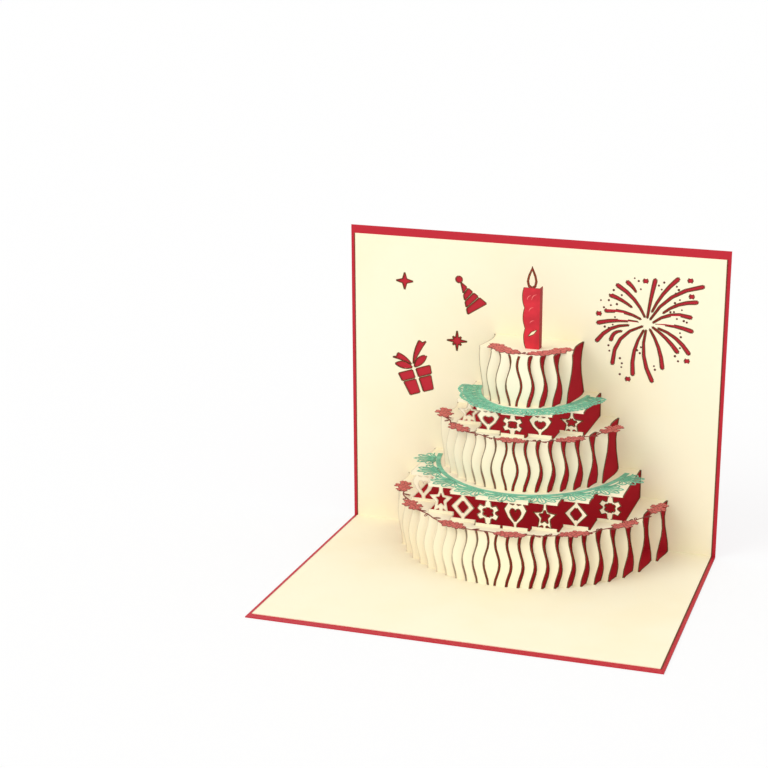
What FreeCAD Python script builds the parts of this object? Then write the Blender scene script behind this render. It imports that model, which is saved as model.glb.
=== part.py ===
import FreeCAD, Part

import math
import os

# Pop-up birthday card, standing open. A stiff red cover carries one cream sheet, and that one sheet is
# slit and folded into a tiered cake: every upright strip is parallel to the standing panel, every ledge
# is parallel to the lying panel. Lace collars, flower garlands and a folded candle are glued on.
#
# A place on the card is given as (x, depth, rise): x along the fold, depth forward from the standing
# panel, rise up the slope of the standing panel. Sizes are millimetres and degrees.

# The card
card_width = 180.0            # along the fold
panel_length = 150.0          # from the fold to the free edge
opening_angle = 85.0          # between the two panels as it stands
cover_thickness = 0.45
cover_fold_radius = 0.4       # outer bend of the cover
sheet_thickness = 0.35        # the cream sheet
side_margin = 1.6             # cover showing beside the cream sheet
end_margin = 4.0              # cover showing at the free edges
kerf = 0.4                    # width burnt away by the laser in a slit

# The cake's tiers, from the lying panel upwards
cake_centre = 2.5             # off the middle of the card
tier_1_height = 26.0
tier_2_height = 14.0
tier_3_height = 25.0
tier_4_height = 11.5
tier_5_height = 24.5
strip_1_count = 24
strip_3_count = 15
strip_5_count = 8
panel_2_count = 8             # ornament panels of the lower band
panel_4_count = 5             # ornament panels of the upper band
strip_1_pitch = 5.3
strip_3_pitch = 5.2
strip_5_pitch = 5.3
panel_2_pitch = 12.6
panel_4_pitch = 12.0
tier_1_plan = (62.5, 76.0)    # half width and depth of each tier's oval plan
tier_2_plan = (56.0, 69.5)
tier_3_plan = (42.5, 55.3)
tier_4_plan = (34.4, 51.0)
tier_5_plan = (25.5, 40.0)
wave_amplitude = 1.1          # sideways swing of the wavy slits
wave_periods = 1.25           # waves along one slit
wave_steps = 4                # straight cuts in each half wave
band_foot = 1.3               # plain paper under an ornament window
band_head = 1.0               # plain paper above it
ornament_stroke = 2.2
ornament_bite = 0.5           # how far an ornament runs into the plain paper
ornament_width = 10.8
ornament_stem = (1.8, 3.2)    # width and reach of the bars that hold an ornament

# Paper trims glued to the ledges
trim_thickness = 0.35
trim_clearance = 0.4          # between a trim and the strips it goes round
trim_back_gap = 1.5           # between a trim's ends and the standing panel
oval_cut = 7.0                # degrees of one straight cut along an oval
lower_collar_plan = (49.5, 68.5)   # through the notches between the fans
upper_collar_plan = (34.0, 53.5)
lower_collar_fans = 9
upper_collar_fans = 13
lower_fan_bulge = 5.6         # how far a fan's middle stands beyond its notches
upper_fan_bulge = 2.2
lower_fan_fingers = 5
upper_fan_fingers = 2
finger_notch = (1.3, 0.5)     # depth of the notch between two fingers, lower and upper collar
lower_slit = (7.0, 1.3)       # length and width of the opening in each finger
upper_slit = (4.2, 1.2)
slit_inset = 1.5              # from a finger's tip
vine_width = 1.3
garland_1_plan = (62.5, 75.8)
garland_3_plan = (43.0, 56.5)
garland_5_plan = (20.5, 35.0)
garland_1_flowers = (-75.0, -50.0, -22.0, 5.0, 32.0, 57.0, 80.0)   # directions from the front
garland_3_flowers = (-72.0, -42.0, 2.0, 38.0, 68.0)
garland_5_flowers = (-58.0, -16.0, 28.0, 60.0)
flower_radius = 5.6
flower_petals = 5
petal_root = 0.62             # of a petal's reach
flower_eye_radius = 0.9

# The candle, folded from one strip
candle_thickness = 0.35
candle_left = 0.4             # edges of its front at the top
candle_right = 8.1
candle_foot_inset = 1.3       # the front is narrower at its foot
candle_height = 29.0
candle_depth = 25.0           # its front, from the standing panel
candle_side = 5.5             # folded-back side
candle_tab = 4.5              # glued foot tab
candle_bulges = 3
candle_bulge = 0.9
flame_width = 5.0
flame_height = 10.8
flame_stroke = 1.1
flame_bite = 0.7
candle_slit = (5.0, 1.2)
candle_slit_rise = 7.6
candle_slit_tilt = 40.0

# Cut-outs of the standing panel, as (x, rise)
star_place = (-63.4, 123.8)
star_reach = 4.2
star_waist = 0.32
burst_place = (-37.4, 96.2)
burst_reach = 5.0
burst_short = 0.6
hat_place = (-27.7, 112.9)    # middle of the brim
hat_height = 14.6
hat_width = 10.8
hat_tilt = 33.0
hat_stripes = 4
hat_slant = 1.6
stripe_gap = 0.9
pompom_radius = 1.6
gift_place = (-54.9, 68.8)    # middle of the bottom edge
gift_tilt = 19.0
gift_foot_width = 12.2
gift_width = 14.2
gift_height = 6.8
gift_lid_width = 16.6
gift_lid_height = 4.0
gift_gap = 0.9
gift_ribbon = 2.0
bow_reach = 8.3
bow_rise = 4.2
bow_tail = (9.5, 13.0)
firework_place = (53.5, panel_length - 37.6)    # keeps clear of the free edge
firework_rays = (             # start and end as (direction, distance) from the middle, then the bow
    ((98, 2.9), (83, 21.9), 0.2), ((75, 6.1), (60, 26.5), 1.1), ((68, 2.4), (39, 31.9), 3.5),
    ((41, 8.9), (29, 25.6), 1.5), ((21, 2.4), (14, 20.6), 2.4), ((5, 3.8), (-5, 20.9), 0.8),
    ((-18, 4.9), (-33, 23.6), 1.7), ((-30, 2.4), (-41, 19.2), 0.8), ((-67, 2.5), (-70, 22.5), 1.2),
    ((-105, 3.0), (-84, 28.1), -2.4), ((-121, 3.5), (-104, 26.2), -1.9), ((-154, 2.6), (-128, 26.4), -4.2),
    ((-160, 12.7), (-152, 19.7), -1.3), ((-172, 8.9), (-157, 26.1), -2.2), ((173, 4.7), (-177, 23.8), -0.9),
    ((148, 3.9), (166, 20.8), -1.3), ((136, 10.7), (145, 22.2), -0.5), ((115, 3.5), (130, 23.4), -1.6),
    ((112, 16.0), (118, 22.3), -0.3))
ray_width = 1.5               # at its end
ray_root = 0.4                # and at its start
firework_sparks = (           # as (direction, distance)
    (95, 20.5), (50, 28.9), (37, 24.4), (-41, 24.7), (-107, 28.7), (172, 23.2))
spark_radius = 1.1

# Cake picture cut through the lying panel, which is the front of the closed card
picture_base_x = 64.0         # foot of the plate
picture_depth = 101.0         # its middle, from the fold
plate_width = 65.0
plate_height = 5.0
plate_bow = 3.0
cap_bases = (15.0, 37.0, 57.0)
cap_widths = (54.0, 39.0, 27.0)
cap_arch = 5.0
cap_height = 3.4              # from the drips' roots to the ends of the arch
drip_counts = (5, 4, 3)
drip_length = 3.0
pearl_radius = 0.9
pearl_counts = (7, 5, 4)
pearl_drop = 7.0
picture_candle_width = 2.6
picture_candle_height = 10.0
picture_flame = (4.4, 7.0)

# Worked out from the sizes above
lean = math.radians(opening_angle)
sheet_step = sheet_thickness / math.sin(lean)     # the sheet's thickness along the floor or the slope
cover_step = cover_thickness / math.sin(lean)
half_sheet = card_width / 2.0 - side_margin
sheet_length = panel_length - cover_step - end_margin
fold_reach = (cover_step * (1 + math.cos(lean))
              - cover_fold_radius * ((1 + math.cos(lean)) / math.sin(lean) - 1))
fold_y = (panel_length - cover_step - fold_reach) / 2.0


def vec(x, y, z=0.0):
    return FreeCAD.Vector(x, y, z)


def spot(x, depth, rise):
    """The place (x, depth, rise) in the part's frame."""
    return vec(x, fold_y - depth - rise * math.cos(lean), cover_thickness + rise * math.sin(lean))


def lay_frame(origin, second_axis):
    """Placement that keeps a flat outline's X along the fold and turns its Y to second_axis."""
    third = vec(1, 0, 0).cross(second_axis)
    return FreeCAD.Placement(FreeCAD.Matrix(
        1, second_axis.x, third.x, origin.x,
        0, second_axis.y, third.y, origin.y,
        0, second_axis.z, third.z, origin.z,
        0, 0, 0, 1))


def upright(face, depth, thickness, shift=0.0):
    """Stand a flat (x, rise) outline with its front face at a depth; shift adds to its rise."""
    placed = face.copy()
    slope = vec(0, -math.cos(lean), math.sin(lean))
    placed.Placement = lay_frame(spot(0, depth, shift), slope) * face.Placement
    return placed.extrude(vec(0, thickness / math.sin(lean), 0))


def level(face, rise, thickness, shift=0.0):
    """Lay a flat (x, minus depth) outline with its top face at a rise; shift adds to its Y."""
    placed = face.copy()
    placed.Placement = lay_frame(spot(0, -shift, rise), vec(0, 1, 0)) * face.Placement
    return placed.extrude(vec(0, thickness / math.tan(lean), -thickness))


def on_ledge(face, rise, thickness):
    """Lay a flat (x, minus depth) outline on a ledge whose top face is at a rise."""
    placed = face.copy()
    placed.Placement = lay_frame(spot(0, 0, rise), vec(0, 1, 0)) * face.Placement
    return placed.extrude(vec(0, 0, thickness))


def flat(wires):
    """One flat face from an outer wire and the wires of its holes."""
    return Part.makeFace(wires, "Part::FaceMakerBullseye")


def outline(edges):
    return Part.Wire(Part.sortEdges(edges)[0])


def line(a, b):
    return Part.LineSegment(a, b).toShape()


def polygon(points):
    return Part.makePolygon([vec(*p) for p in points] + [vec(*points[0])])


def dot(x, y, radius, corners=8):
    """Hole too small to show as round, cut with straight sides."""
    turns = [2 * math.pi * (n + 0.5) / corners for n in range(corners)]
    return polygon([(x + radius * math.cos(t), y + radius * math.sin(t)) for t in turns])


def arc(a, middle, b):
    return Part.Arc(a, middle, b).toShape()


def bent(a, b, bow, steps=4):
    """Straight cuts from a to b along a way whose middle stands off to the left by bow."""
    way = b - a
    side = vec(-way.y, way.x).normalize()
    shares = [n / steps for n in range(steps + 1)]
    places = [a + way * t + side * (4 * bow * t * (1 - t)) for t in shares]
    return [line(p, q) for p, q in zip(places, places[1:])]


def bowed(a, b, bow):
    """Arc from a to b whose middle stands off to the left of the way by bow."""
    way = b - a
    side = vec(-way.y, way.x).normalize()
    return arc(a, (a + b) * 0.5 + side * bow, b)


def lozenge(length, width):
    """Pointed slit along X about the origin."""
    return polygon([(-length / 2.0, 0), (0, -width / 2.0), (length / 2.0, 0), (0, width / 2.0)])


def turned(shape, x, y, degrees):
    """A flat outline turned about the origin and moved."""
    moved = shape.copy()
    moved.rotate(vec(0, 0), vec(0, 0, 1), degrees)
    moved.translate(vec(x, y))
    return moved


def joined(solids):
    """One solid from pieces of the same sheet."""
    whole = solids[0].multiFuse(solids[1:]).removeSplitter()
    return whole.Solids[0] if len(whole.Solids) == 1 else whole


# The slit sheet

class Tier:
    """Upright strips between two rises, each at its own depth on an oval plan.

    Along the flat sheet a place is s = rise - depth, the same on uprights and on ledges, so one curve
    x(s) for each slit cuts both of its neighbours.
    """

    def __init__(self, foot, height, count, pitch, plan, amplitude):
        self.foot = foot
        self.head = foot + height
        self.amplitude = amplitude
        self.bounds = [cake_centre + (i - count / 2.0) * pitch for i in range(count + 1)]
        middles = [(i + 0.5 - count / 2.0) * pitch for i in range(count)]
        self.depths = [plan[1] * math.sqrt(1.0 - (m / plan[0]) ** 2) for m in middles]
        self.slits = [self.slit(i) for i in range(count + 1)]

    def beside(self, i):
        """Depths left and right of slit i; beyond the last strip that is the standing panel's face."""
        left = self.depths[i - 1] if i > 0 else sheet_step
        right = self.depths[i] if i < len(self.depths) else sheet_step
        return left, right

    def slit(self, i):
        """First turning point of slit i, and the length of one straight cut along it."""
        left, right = self.beside(i)
        low = self.foot - max(left, right)
        high = self.head - min(left, right)
        half_wave = (high - low) / (2 * wave_periods)
        return low + half_wave / 2.0, half_wave / wave_steps

    def at(self, i, s, aside=0.0):
        """Place (x, s) on slit i, moved aside by part of the kerf. The wave is a sine cut in straight steps."""
        if self.amplitude == 0:
            return vec(self.bounds[i] + aside, s)
        turn, step = self.slits[i]
        corner = math.floor((s - turn) / step)
        share = (s - turn) / step - corner
        sway = [math.sin(math.pi * n / wave_steps) for n in (corner, corner + 1)]
        hand = 1.0 if self.bounds[i] > cake_centre - 0.1 else -1.0
        swing = hand * self.amplitude * ((1 - share) * sway[0] + share * sway[1])
        return vec(self.bounds[i] + swing + aside, s)

    def edge(self, i, a, b, aside=0.0):
        """Edges of slit i from a to b along the sheet."""
        cuts = [a, b]
        if self.amplitude > 0:
            turn, step = self.slits[i]
            corners = range(math.floor((a - turn) / step), math.ceil((b - turn) / step) + 1)
            cuts[1:1] = [turn + n * step for n in corners if a + 1e-5 < turn + n * step < b - 1e-5]
        places = [self.at(i, s, aside) for s in cuts]
        return [line(p, q) for p, q in zip(places, places[1:])]

    def front(self, i):
        """Flat outline (x, s) of strip i, from under its foot to under its ledge."""
        a = self.foot - self.depths[i] - sheet_step
        b = self.head - self.depths[i] - sheet_step
        half = kerf / 2.0
        ends = [
            line(self.at(i, b, half), self.at(i + 1, b, -half)),
            line(self.at(i + 1, a, -half), self.at(i, a, half))]
        return outline(self.edge(i, a, b, half) + self.edge(i + 1, a, b, -half) + ends)

    def brink(self, rise):
        """Edges (x, s) along the strips at a rise, from the left back end to the right back end."""
        back = rise - sheet_step
        edges = self.edge(0, rise - self.depths[0], back)
        for i, depth in enumerate(self.depths):
            s = rise - depth
            edges.append(line(self.at(i, s), self.at(i + 1, s)))
            beyond = rise - self.beside(i + 1)[1]
            if abs(beyond - s) > 1e-6:
                edges += self.edge(i + 1, min(s, beyond), max(s, beyond))
        return edges, self.at(0, back), self.at(len(self.depths), back)

    def footprint(self, clearance):
        """Solids over the strips' own places, widened by a clearance."""
        solids = []
        for i, depth in enumerate(self.depths):
            s = self.foot - depth
            left = self.at(i, s).x - clearance
            right = self.at(i + 1, s).x + clearance
            floor = polygon([(left, 0), (right, 0), (right, -depth - clearance), (left, -depth - clearance)])
            solids.append(on_ledge(flat([floor]), self.foot, trim_thickness))
        return solids


def stack_tiers():
    rows = (
        (tier_1_height, strip_1_count, strip_1_pitch, tier_1_plan, wave_amplitude),
        (tier_2_height, panel_2_count, panel_2_pitch, tier_2_plan, 0.0),
        (tier_3_height, strip_3_count, strip_3_pitch, tier_3_plan, wave_amplitude),
        (tier_4_height, panel_4_count, panel_4_pitch, tier_4_plan, 0.0),
        (tier_5_height, strip_5_count, strip_5_pitch, tier_5_plan, wave_amplitude))
    stack = []
    foot = sheet_step
    for height, count, pitch, plan, amplitude in rows:
        stack.append(Tier(foot, height, count, pitch, plan, amplitude))
        foot = stack[-1].head
    return stack


tiers = stack_tiers()


def heart(width, height):
    """Heart standing on its tip at the origin, in twelve straight cuts."""
    ring = []
    for n in range(12):
        t = math.radians(30.0 * n)
        y = 13 * math.cos(t) - 5 * math.cos(2 * t) - 2 * math.cos(3 * t) - math.cos(4 * t)
        ring.append((math.sin(t) ** 3 * width / 2.0, (y + 17.0) / 29.0 * height))
    return polygon(ring)


def star(width, height, points=5, waist=0.48):
    """Star on the origin, stretched to a width and height."""
    ring = []
    for n in range(2 * points):
        reach = 1.0 if n % 2 == 0 else waist
        angle = math.pi / 2 + n * math.pi / points
        ring.append((reach * math.cos(angle), reach * math.sin(angle)))
    low = min(y for x, y in ring)
    high = max(y for x, y in ring)
    wide = max(x for x, y in ring)
    return polygon([(x / wide * width / 2, (y - low) / (high - low) * height) for x, y in ring])


def diamond(width, height):
    return polygon([(0, 0), (width / 2, height / 2), (0, height), (-width / 2, height / 2)])


def petals(radius, count, x=0.0, y=0.0, first=90.0):
    """Ring of blunt petals about a place, three corners to each."""
    ring = []
    for n in range(count):
        for reach, part in ((petal_root, -0.5), (1.0, -0.24), (1.0, 0.24)):
            angle = math.radians(first + (n + part) * 360.0 / count)
            ring.append((x + reach * radius * math.cos(angle), y + reach * radius * math.sin(angle)))
    return polygon(ring)


def blossom(width, height):
    return petals(min(width, height) / 2.0, 6, 0.0, height / 2.0)


def ornament_panel(tier, i, form):
    """Upright panel i of an ornament band: plain foot and head, and a drawn ornament between."""
    depth = tier.depths[i]
    foot = tier.foot - depth
    head = tier.head - depth - sheet_step
    left = tier.bounds[i] + kerf / 2.0
    right = tier.bounds[i + 1] - kerf / 2.0
    middle = (left + right) / 2.0
    window_foot = foot + band_foot - ornament_bite
    window_head = head - band_head + ornament_bite
    height = window_head - window_foot

    def box(x0, y0, x1, y1):
        return flat([polygon([(x0, y0), (x1, y0), (x1, y1), (x0, y1)])])

    inner_width = ornament_width - 2.6 * ornament_stroke
    inner_height = height - 2.6 * ornament_stroke
    hole = form(inner_width, inner_height)
    hole.translate(vec(0, (height - inner_height) / 2.0))
    drawn = flat([form(ornament_width, height), hole])
    drawn.translate(vec(middle, window_foot))
    bar = ornament_stem[0] / 2.0
    reach = ornament_stem[1]
    pieces = [
        box(left, foot - sheet_step, right, foot + band_foot),
        box(left, head - band_head, right, head),
        box(middle - bar, window_foot, middle + bar, window_foot + reach),
        box(middle - bar, window_head - reach, middle + bar, window_head),
        drawn]
    return [upright(piece, depth, sheet_thickness, depth) for piece in pieces]


def standing_outline():
    """Outline (x, s) of the standing panel of the cream sheet, with the cake's place left open below."""
    foot = -sheet_step
    edges = []
    for n, tier in enumerate(tiers):
        low = foot if n == 0 else tier.foot - 2 * sheet_step
        high = tier.head - 2 * sheet_step
        last = len(tier.depths)
        edges += tier.edge(0, low, high) + tier.edge(last, low, high)
        if n + 1 < len(tiers):
            above = tiers[n + 1]
            edges.append(line(tier.at(0, high), above.at(0, high)))
            edges.append(line(tier.at(last, high), above.at(len(above.depths), high)))
        else:
            edges.append(line(tier.at(0, high), tier.at(last, high)))
    top = sheet_length - sheet_step
    first = tiers[0]
    edges += [
        line(first.at(0, foot), vec(-half_sheet, foot)),
        line(vec(-half_sheet, foot), vec(-half_sheet, top)),
        line(vec(-half_sheet, top), vec(half_sheet, top)),
        line(vec(half_sheet, top), vec(half_sheet, foot)),
        line(vec(half_sheet, foot), first.at(len(first.depths), foot))]
    return outline(edges)


def lying_outline():
    """Outline (x, s) of the lying panel, open where the lowest strips were lifted out of it."""
    edges, left, right = tiers[0].brink(sheet_step)
    front = sheet_step - sheet_length
    edges += [
        line(right, vec(half_sheet, 0)),
        line(vec(half_sheet, 0), vec(half_sheet, front)),
        line(vec(half_sheet, front), vec(-half_sheet, front)),
        line(vec(-half_sheet, front), vec(-half_sheet, 0)),
        line(vec(-half_sheet, 0), left)]
    return outline(edges)


def ledge_outline(tier, above):
    """Outline (x, s) of a tier's top, with the place of the tier above left open."""
    edges, left, right = tier.brink(tier.head)
    if above is None:
        edges.append(line(right, left))
    else:
        inner, inner_left, inner_right = above.brink(tier.head)
        edges += inner + [line(right, inner_right), line(inner_left, left)]
    return outline(edges)


# Cut-outs of the standing panel

def stars():
    small = star(2 * star_reach, 2 * star_reach, 4, star_waist)
    small.translate(vec(star_place[0], star_place[1] - star_reach))
    ring = []
    for n in range(16):
        reach = (1.0, star_waist, burst_short, star_waist)[n % 4] * burst_reach
        angle = math.pi / 2 + n * math.pi / 8
        ring.append((burst_place[0] + reach * math.cos(angle), burst_place[1] + reach * math.sin(angle)))
    return [small, polygon(ring)]


def party_hat():
    """Cone in slanting stripes, with a pompom."""
    half = hat_width / 2.0

    def side(hand, y):
        return (hand * half * (1 - y / hat_height), y)

    wires = [dot(0, hat_height + pompom_radius * 1.1, pompom_radius)]
    band = (hat_height - hat_slant) / hat_stripes
    for n in range(hat_stripes):
        low = n * band
        high = low + band - stripe_gap
        slant_low = hat_slant if n else 0.0
        corners = [side(-1, low), side(1, low + slant_low)]
        if n + 1 < hat_stripes:
            corners += [side(1, high + hat_slant), side(-1, high)]
        else:
            corners.append((0, hat_height))
        wires.append(polygon(corners))
    return [turned(w, hat_place[0], hat_place[1], hat_tilt) for w in wires]


def gift():
    """Parcel in four fields round a ribbon, with a bow of two loops and two cut tails."""
    wires = []
    lid = gift_height + gift_gap
    top = lid + gift_lid_height
    knot = top + gift_gap
    for side in (-1, 1):
        near = side * gift_ribbon / 2.0
        wires.append(polygon([
            (near, 0), (side * gift_foot_width / 2, 0), (side * gift_width / 2, gift_height),
            (near, gift_height)]))
        wires.append(polygon([
            (near, lid), (side * (gift_lid_width / 2 - 0.6), lid), (side * gift_lid_width / 2, top),
            (near, top)]))
        root = vec(side * 0.6, knot + 0.3)
        tip = vec(side * bow_reach, knot + bow_rise)
        wires.append(outline([bowed(root, tip, side * 1.9), bowed(root, tip, -side * 1.3)]))
        tail_root = vec(side * 0.5, knot + 1.9)
        length = bow_tail[0] if side < 0 else bow_tail[1]
        tail = vec(side * length * 0.55, knot + length * 0.95)
        notch = tail + vec(side * 1.2, -1.6)
        corner = tail + vec(side * 3.2, -1.3)
        wires.append(outline([
            bowed(tail_root, tail, side * 0.8), line(tail, notch), line(notch, corner),
            bowed(tail_root, corner, side * 0.3)]))
    return [turned(w, gift_place[0], gift_place[1], gift_tilt) for w in wires]


def from_firework(direction, distance):
    angle = math.radians(direction)
    return vec(
        firework_place[0] + distance * math.cos(angle), firework_place[1] + distance * math.sin(angle))


def firework():
    """Rays that thicken outwards and droop, with sparks between them."""
    wires = []
    half = ray_width / 2.0
    for start, end, bow in firework_rays:
        root = from_firework(*start)
        tip = from_firework(*end)
        way = (tip - root).normalize()
        side = vec(-way.y, way.x)
        near_root, far_root = root - side * ray_root / 2.0, root + side * ray_root / 2.0
        near, far = tip - way * half - side * half, tip - way * half + side * half
        near_tip, far_tip = tip - side * half / 2.0, tip + side * half / 2.0
        cap = [line(near, near_tip), line(near_tip, far_tip), line(far_tip, far)]
        back = [line(far_root, near_root)]
        wires.append(Part.Wire(bent(near_root, near, bow) + cap + bent(far, far_root, -bow) + back))
    for place in firework_sparks:
        middle = from_firework(*place)
        wires.append(dot(middle.x, middle.y, spark_radius))
    return wires


def make_liner():
    """The cream sheet: two panels, and the cake folded out of their slits."""
    cut_outs = stars() + party_hat() + gift() + firework()
    for wire in cut_outs:
        wire.translate(vec(0, -sheet_step))
    solids = [
        upright(flat([standing_outline()] + cut_outs), sheet_step, sheet_thickness, sheet_step),
        level(flat([lying_outline()]), sheet_step, sheet_thickness, -sheet_step)]
    for tier, above in zip(tiers, tiers[1:] + [None]):
        solids.append(level(flat([ledge_outline(tier, above)]), tier.head, sheet_thickness, -tier.head))
    for n in (0, 2, 4):
        for i, depth in enumerate(tiers[n].depths):
            solids.append(upright(flat([tiers[n].front(i)]), depth, sheet_thickness, depth))
    forms = (heart, star, diamond, blossom)
    for i in range(len(tiers[1].depths)):
        solids += ornament_panel(tiers[1], i, forms[i % 4])
    forms = (star, heart, blossom)
    for i in range(len(tiers[3].depths)):
        solids += ornament_panel(tiers[3], i, forms[min(i, len(tiers[3].depths) - 1 - i)])
    return joined(solids)


# The cover

def icing_cap(width, base, drips):
    """Arched icing with round drips along its lower edge."""
    half = width / 2.0
    top = base + cap_height
    step = width / (2 * drips - 1)
    rim = []
    for n in range(2 * drips - 1):
        start = half - n * step
        rim.append((start, base))
        if n % 2 == 0:
            rim.append((start - 0.18 * step, base - 0.8 * drip_length))
            rim.append((start - 0.5 * step, base - drip_length))
            rim.append((start - 0.82 * step, base - 0.8 * drip_length))
        else:
            rim.append((start - 0.5 * step, base + 0.35 * step))
    rim.append((-half, base))
    corners = [vec(*p) for p in rim]
    edges = [line(a, b) for a, b in zip(corners, corners[1:])]
    edges += [
        line(vec(-half, base), vec(-half, top)),
        arc(vec(-half, top), vec(0, top + cap_arch), vec(half, top)),
        line(vec(half, top), vec(half, base))]
    return outline(edges)


def flame(width, height):
    """Drop with its point up, standing on the origin."""
    half = ((0.38, 0.1), (0.5, 0.34), (0.38, 0.6), (0.17, 0.83))
    right = [(width * a, height * b) for a, b in half]
    left = [(-x, y) for x, y in reversed(right)]
    return polygon([(0, 0)] + right + [(0, height)] + left)


def cake_picture():
    """Wires (across, up) of the picture: a plate, three icing caps with pearls, and a candle."""
    half = plate_width / 2.0
    wires = [outline([
        arc(vec(-half, plate_bow), vec(0, 0), vec(half, plate_bow)),
        line(vec(half, plate_bow), vec(half, plate_bow + plate_height)),
        arc(vec(-half, plate_bow + plate_height), vec(0, plate_height), vec(half, plate_bow + plate_height)),
        line(vec(-half, plate_bow), vec(-half, plate_bow + plate_height))])]
    for base, width, drips, pearls in zip(cap_bases, cap_widths, drip_counts, pearl_counts):
        wires.append(icing_cap(width, base, drips))
        for n in range(pearls):
            across = (n - (pearls - 1) / 2.0) * width / pearls
            wires.append(dot(across, base - pearl_drop + 0.25 * drip_length, pearl_radius, 6))
    foot = cap_bases[-1] + cap_height + cap_arch + 1.2
    half = picture_candle_width / 2.0
    wires.append(polygon([
        (-half, foot), (half, foot), (half, foot + picture_candle_height),
        (-half, foot + picture_candle_height)]))
    drop = flame(*picture_flame)
    drop.translate(vec(0, foot + picture_candle_height + 1.0))
    wires.append(drop)
    return wires


def make_cover():
    """Folded cover with a rounded outer bend, and the cake picture cut through its lying panel."""
    free = panel_length - cover_step
    profile = [
        spot(0, free, 0), spot(0, 0, 0), spot(0, 0, free), spot(0, -cover_step, free),
        spot(0, -cover_step, -cover_step), spot(0, free, -cover_step)]
    wire = Part.makePolygon(profile + [profile[0]])
    wire.translate(vec(-card_width / 2.0, 0))
    solid = Part.Face(wire).extrude(vec(card_width, 0, 0))
    bend = [e for e in solid.Edges
            if e.Length > card_width / 2.0 and e.CenterOfMass.z < 1e-3 and e.CenterOfMass.y > fold_y]
    solid = solid.makeFillet(cover_fold_radius, bend)
    tools = []
    for wire in cake_picture():
        placed = turned(wire, picture_base_x, -picture_depth, 90.0)
        tools.append(level(flat([placed]), cover_thickness, 3 * cover_thickness))
    return solid.cut(tools)


# Trims

def oval(plan, degrees):
    """Place (x, minus depth) on an oval plan; degrees turn from the front to the right."""
    angle = math.radians(degrees)
    return vec(cake_centre + plan[0] * math.sin(angle), -plan[1] * math.cos(angle))


def oval_normal(plan, degrees):
    angle = math.radians(degrees)
    return vec(math.sin(angle) / plan[0], -math.cos(angle) / plan[1]).normalize()


def oval_end(plan):
    """Direction in which a plan reaches the gap left before the standing panel."""
    return math.degrees(math.acos((sheet_step + trim_back_gap) / plan[1]))


def oval_run(plan, first, last):
    """Straight cuts along an oval plan, oval_cut degrees each."""
    steps = math.ceil((last - first) / oval_cut)
    places = [oval(plan, first + (last - first) * n / steps) for n in range(steps + 1)]
    return [line(p, q) for p, q in zip(places, places[1:])]


def make_collar(below, above, strips_plan, plan, fans, bulge, fingers, notch, slit_size):
    """Flat lace collar on a ledge: fans of pointed fingers, each with a slit, cut round the strips."""
    inner = (strips_plan[0] + trim_clearance, strips_plan[1] + trim_clearance)
    end = oval_end(plan)
    fan = 2 * end / fans
    inset = slit_inset + slit_size[0] / 2.0
    rim = []
    holes = []
    for n in range(fans):
        start = -end + n * fan
        hub = oval(inner, start + fan / 2.0)
        for k in range(2 * fingers):
            share = k / (2.0 * fingers)
            direction = start + share * fan
            stand = bulge * math.sin(math.pi * share) ** 0.7
            if k % 2 == 0:
                stand = max(0.0, stand - notch)
            place = oval(plan, direction) + oval_normal(plan, direction) * stand
            rim.append(place)
            if k % 2:
                ray = (place - hub).normalize()
                middle = place - ray * inset
                turn = math.degrees(math.atan2(ray.y, ray.x))
                holes.append(turned(lozenge(*slit_size), middle.x, middle.y, turn))
    rim.append(oval(plan, end))
    inner_end = oval_end(inner)
    edges = [line(a, b) for a, b in zip(rim, rim[1:])]
    edges += oval_run(inner, -inner_end, inner_end)
    edges += [
        line(oval(plan, -end), oval(inner, -inner_end)),
        line(oval(plan, end), oval(inner, inner_end))]
    solid = on_ledge(flat([outline(edges)] + holes), below.head, trim_thickness)
    return solid.cut(above.footprint(trim_clearance))


def make_garland(below, above, plan, flowers):
    """Vine along an oval with flowers on it, lying on a ledge."""
    half = vine_width / 2.0
    wide = (plan[0] + half, plan[1] + half)
    narrow = (plan[0] - half, plan[1] - half)
    first, last = min(flowers), max(flowers)
    ends = [line(oval(wide, last), oval(narrow, last)), line(oval(narrow, first), oval(wide, first))]
    vine = outline(oval_run(wide, first, last) + oval_run(narrow, first, last) + ends)
    pieces = [on_ledge(flat([vine]), below.head, trim_thickness)]
    for direction in flowers:
        hub = oval(plan, direction)
        wires = [
            petals(flower_radius, flower_petals, hub.x, hub.y, direction),
            dot(hub.x, hub.y, flower_eye_radius, 4)]
        pieces.append(on_ledge(flat(wires), below.head, trim_thickness))
    solid = joined(pieces)
    if above is not None:
        solid = solid.cut(above.footprint(trim_clearance))
    return solid


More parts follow.
